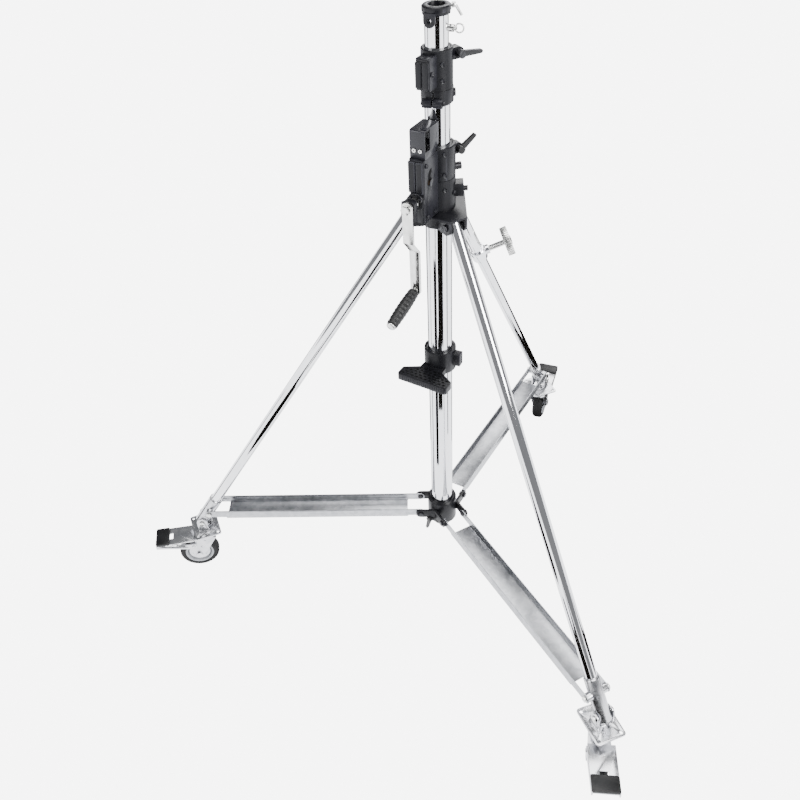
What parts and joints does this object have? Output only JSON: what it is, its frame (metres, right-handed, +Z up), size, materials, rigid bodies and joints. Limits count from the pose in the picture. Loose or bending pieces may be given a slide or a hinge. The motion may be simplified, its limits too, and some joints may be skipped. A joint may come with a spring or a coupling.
{
  "type": "crank lighting stand",
  "caption": "Wind-up lighting stand: telescoping chrome column with a crank winch, folding braced legs, levelling leg, foot step and braked swivel casters.",
  "frame": {"origin": "on the floor under the column's axis", "axes": "+Z up along the column; the winch, its crank and the foot step face 240 degrees from +X, the legs stand at 180, 300 and 60 degrees"},
  "size_m": [1.1032, 1.3025, 1.373],
  "materials": {
    "chrome_tube": "chrome-plated steel tube",
    "black_casting": "black powder-coated die casting",
    "black_steel": "black enamelled sheet steel",
    "zinc_channel": "galvanised pressed channel",
    "zinc_fork": "bright zinc-plated pressing",
    "bright_steel": "polished plated steel",
    "black_plastic": "moulded black nylon",
    "grip_rubber": "ribbed black rubber",
    "tyre_rubber": "black rubber tyre",
    "rim_grey": "grey moulded wheel centre",
    "wire_rope": "steel wire rope",
    "worm_bronze": "bronze worm wheel"
  },
  "bodies": {
    "column": {"outer_tube": "chrome_tube", "tube_end_cap": "black_plastic", "lower_bush": "black_plastic", "winch_housing": "black_casting", "leg_bracket": "black_casting", "gearbox_case_left": "black_casting", "gearbox_case_right": "black_casting", "brake_flange": "black_casting", "pulley_cover": "black_steel", "housing_fasteners": "bright_steel", "lift_cable": "wire_rope", "foot_step": "black_casting"},
    "drum": {"worm_wheel": "worm_bronze"},
    "pulley": {"top_pulley": "black_plastic"},
    "crank": {"crank_shaft": "bright_steel", "crank_knuckle": "black_casting", "crank_arm": "bright_steel", "grip_spindle": "bright_steel"},
    "grip": {"crank_grip": "grip_rubber"},
    "winch_lever": {"winch_lock_lever": "black_plastic"},
    "middle_section": {"middle_tube": "chrome_tube", "upper_collar": "black_casting", "upper_bush": "black_plastic", "cable_box": "black_casting"},
    "collar_lever": {"collar_lock_lever": "black_plastic"},
    "top_section": {"top_tube": "chrome_tube", "spigot_socket": "black_casting", "socket_lug": "black_casting", "pin_boss": "bright_steel"},
    "top_lever": {"socket_lever": "bright_steel"},
    "latch": {"latch_pin": "bright_steel"},
    "hub": {"hub_casting": "black_casting", "hub_bolts": "black_steel"},
    "hub_clamp": {"hub_lever": "black_plastic"},
    "brace_a": {"brace_a": "zinc_channel"},
    "leg_a": {"leg_tube_a": "chrome_tube", "leg_socket_a": "zinc_fork"},
    "foot_a": {"foot_plate_a": "zinc_fork"},
    "caster_a": {"caster_fork_a": "zinc_fork"},
    "wheel_a": {"tyre_a": "tyre_rubber", "wheel_hub_a": "rim_grey"},
    "pedal_a": {"brake_lever_a": "zinc_fork"},
    "brace_b": {"brace_b": "zinc_channel"},
    "leg_b": {"leg_tube_b": "chrome_tube", "leg_socket_b": "zinc_fork"},
    "foot_b": {"foot_plate_b": "zinc_fork"},
    "caster_b": {"caster_fork_b": "zinc_fork"},
    "wheel_b": {"tyre_b": "tyre_rubber", "wheel_hub_b": "rim_grey"},
    "pedal_b": {"brake_lever_b": "zinc_fork"},
    "brace_c": {"brace_c": "zinc_channel"},
    "leg_c": {"leg_tube_c": "chrome_tube", "leg_socket_c": "zinc_fork"},
    "foot_c": {"foot_plate_c": "zinc_fork"},
    "caster_c": {"caster_fork_c": "zinc_fork"},
    "wheel_c": {"tyre_c": "tyre_rubber", "wheel_hub_c": "rim_grey"},
    "pedal_c": {"brake_lever_c": "zinc_fork"},
    "level_sleeve": {"level_sleeve": "chrome_tube"},
    "level_knob": {"level_knob": "bright_steel"}
  },
  "joints": [
    {"name": "hub_slide", "type": "slide", "parent": "column", "child": "hub", "axis": [0, 0, 1], "range_m": [0, 0.363]},
    {"name": "brace_turn_a", "type": "hinge", "parent": "hub", "child": "brace_a", "pos_m": [-0.052, 0, 0.204], "axis": [0, -1, 0], "range_deg": [0, 79.15]},
    {"name": "leg_turn_a", "type": "hinge", "parent": "brace_a", "child": "leg_a", "pos_m": [-0.574, 0, 0.204], "axis": [0, -1, 0], "range_deg": [-51.91, 0]},
    {"name": "foot_turn_a", "type": "hinge", "parent": "leg_a", "child": "foot_a", "pos_m": [-0.60005, 0, 0.16404], "axis": [0, -1, 0], "range_deg": [-27.44, 0]},
    {"name": "swivel_a", "type": "hinge", "parent": "foot_a", "child": "caster_a", "pos_m": [-0.60005, 0, 0.12], "axis": [0, 0, 1], "continuous": true},
    {"name": "wheel_spin_a", "type": "hinge", "parent": "caster_a", "child": "wheel_a", "pos_m": [-0.6296, -0.00521, 0.05], "axis": [0.1736, -0.9848, 0], "continuous": true},
    {"name": "brake_a", "type": "hinge", "parent": "caster_a", "child": "pedal_a", "pos_m": [-0.63748, -0.0066, 0.09], "axis": [0.1736, -0.9848, 0], "range_deg": [0, 10]},
    {"name": "brace_turn_b", "type": "hinge", "parent": "hub", "child": "brace_b", "pos_m": [0.026, -0.04503, 0.204], "axis": [0.866, 0.5, 0], "range_deg": [0, 79.15]},
    {"name": "leg_turn_b", "type": "hinge", "parent": "brace_b", "child": "leg_b", "pos_m": [0.287, -0.4971, 0.204], "axis": [0.866, 0.5, 0], "range_deg": [-51.91, 0]},
    {"name": "foot_turn_b", "type": "hinge", "parent": "leg_b", "child": "foot_b", "pos_m": [0.30003, -0.51966, 0.16404], "axis": [0.866, 0.5, 0], "range_deg": [-27.44, 0]},
    {"name": "swivel_b", "type": "hinge", "parent": "foot_b", "child": "caster_b", "pos_m": [0.30003, -0.51966, 0.12], "axis": [0, 0, 1], "continuous": true},
    {"name": "wheel_spin_b", "type": "hinge", "parent": "caster_b", "child": "wheel_b", "pos_m": [0.29793, -0.54959, 0.05], "axis": [0.9976, -0.0698, 0], "continuous": true},
    {"name": "brake_b", "type": "hinge", "parent": "caster_b", "child": "pedal_b", "pos_m": [0.29738, -0.55757, 0.09], "axis": [0.9976, -0.0698, 0], "range_deg": [0, 10]},
    {"name": "brace_turn_c", "type": "hinge", "parent": "hub", "child": "brace_c", "pos_m": [0.026, 0.04503, 0.204], "axis": [-0.866, 0.5, 0], "range_deg": [0, 79.15]},
    {"name": "leg_turn_c", "type": "hinge", "parent": "brace_c", "child": "leg_c", "pos_m": [0.287, 0.4971, 0.204], "axis": [-0.866, 0.5, 0], "range_deg": [-51.91, 0]},
    {"name": "foot_turn_c", "type": "hinge", "parent": "leg_c", "child": "foot_c", "pos_m": [0.30003, 0.51966, 0.16404], "axis": [-0.866, 0.5, 0], "range_deg": [-27.44, 0]},
    {"name": "swivel_c", "type": "hinge", "parent": "foot_c", "child": "caster_c", "pos_m": [0.30003, 0.51966, 0.12], "axis": [0, 0, 1], "continuous": true},
    {"name": "wheel_spin_c", "type": "hinge", "parent": "caster_c", "child": "wheel_c", "pos_m": [0.31029, 0.54785, 0.05], "axis": [-0.9397, 0.342, 0], "continuous": true},
    {"name": "brake_c", "type": "hinge", "parent": "caster_c", "child": "pedal_c", "pos_m": [0.31302, 0.55537, 0.09], "axis": [-0.9397, 0.342, 0], "range_deg": [0, 10]},
    {"name": "level_slide", "type": "slide", "parent": "leg_c", "child": "level_sleeve", "axis": [0.2731, 0.473, -0.8377], "range_m": [0, 0.12]},
    {"name": "level_knob_turn", "type": "hinge", "parent": "level_sleeve", "child": "level_knob", "pos_m": [0.08539, 0.14791, 0.82241], "axis": [0.9326, 0.0833, 0.3511], "range_deg": [0, 720]},
    {"name": "mid_lift", "type": "slide", "parent": "column", "child": "middle_section", "axis": [0, 0, 1], "range_m": [0, 0.75]},
    {"name": "top_lift", "type": "slide", "parent": "middle_section", "child": "top_section", "axis": [0, 0, 1], "range_m": [0, 0.75]},
    {"name": "pulley_spin", "type": "hinge", "parent": "column", "child": "pulley", "pos_m": [-0.02382, -0.04127, 1.16355], "axis": [0.866, -0.5, 0], "range_deg": [0, 2300]},
    {"name": "crank_spin", "type": "hinge", "parent": "column", "child": "crank", "pos_m": [-0.05, -0.0866, 1.063], "axis": [-0.5, -0.866, 0], "continuous": true},
    {"name": "drum_spin", "type": "hinge", "parent": "column", "child": "drum", "pos_m": [-0.0275, -0.04763, 1.0914], "axis": [0.866, -0.5, 0], "continuous": true},
    {"name": "grip_spin", "type": "hinge", "parent": "crank", "child": "grip", "pos_m": [-0.0455, -0.07881, 0.886], "axis": [-0.4806, -0.8325, -0.2756], "continuous": true},
    {"name": "winch_lever_turn", "type": "hinge", "parent": "column", "child": "winch_lever", "pos_m": [0.03706, 0.01181, 1.122], "axis": [0.5, -0.866, 0], "range_deg": [-60, 60]},
    {"name": "collar_lever_turn", "type": "hinge", "parent": "middle_section", "child": "collar_lever", "pos_m": [0.03706, 0.01181, 1.29], "axis": [0.5, -0.866, 0], "range_deg": [-60, 60]},
    {"name": "top_lever_turn", "type": "hinge", "parent": "top_section", "child": "top_lever", "pos_m": [0.02954, 0.00521, 1.3685], "axis": [0.9848, 0.1736, 0], "range_deg": [-90, 90]},
    {"name": "latch_slide", "type": "slide", "parent": "top_section", "child": "latch", "axis": [0.9659, -0.2588, 0], "range_m": [0, 0.006], "stiffness_N_per_m": 800, "springref_m": -0.004},
    {"name": "hub_lever_turn", "type": "hinge", "parent": "hub", "child": "hub_clamp", "pos_m": [-0.03126, -0.03237, 0.186], "axis": [-0.6947, -0.7193, 0], "range_deg": [-45, 0]}
  ],
  "couplings": [
    {"joint": "brace_turn_a", "follows": "hub_slide", "rad_per_m": 3.7961},
    {"joint": "leg_turn_a", "follows": "hub_slide", "rad_per_m": -2.4862},
    {"joint": "foot_turn_a", "follows": "hub_slide", "rad_per_m": -1.3099},
    {"joint": "brace_turn_b", "follows": "hub_slide", "rad_per_m": 3.7961},
    {"joint": "leg_turn_b", "follows": "hub_slide", "rad_per_m": -2.4862},
    {"joint": "foot_turn_b", "follows": "hub_slide", "rad_per_m": -1.3099},
    {"joint": "brace_turn_c", "follows": "hub_slide", "rad_per_m": 3.7961},
    {"joint": "leg_turn_c", "follows": "hub_slide", "rad_per_m": -2.4862},
    {"joint": "foot_turn_c", "follows": "hub_slide", "rad_per_m": -1.3099},
    {"joint": "top_lift", "follows": "mid_lift", "ratio": 1},
    {"joint": "pulley_spin", "follows": "mid_lift", "rad_per_m": 51.68},
    {"joint": "drum_spin", "follows": "crank_spin", "ratio": 0.033333}
  ]
}
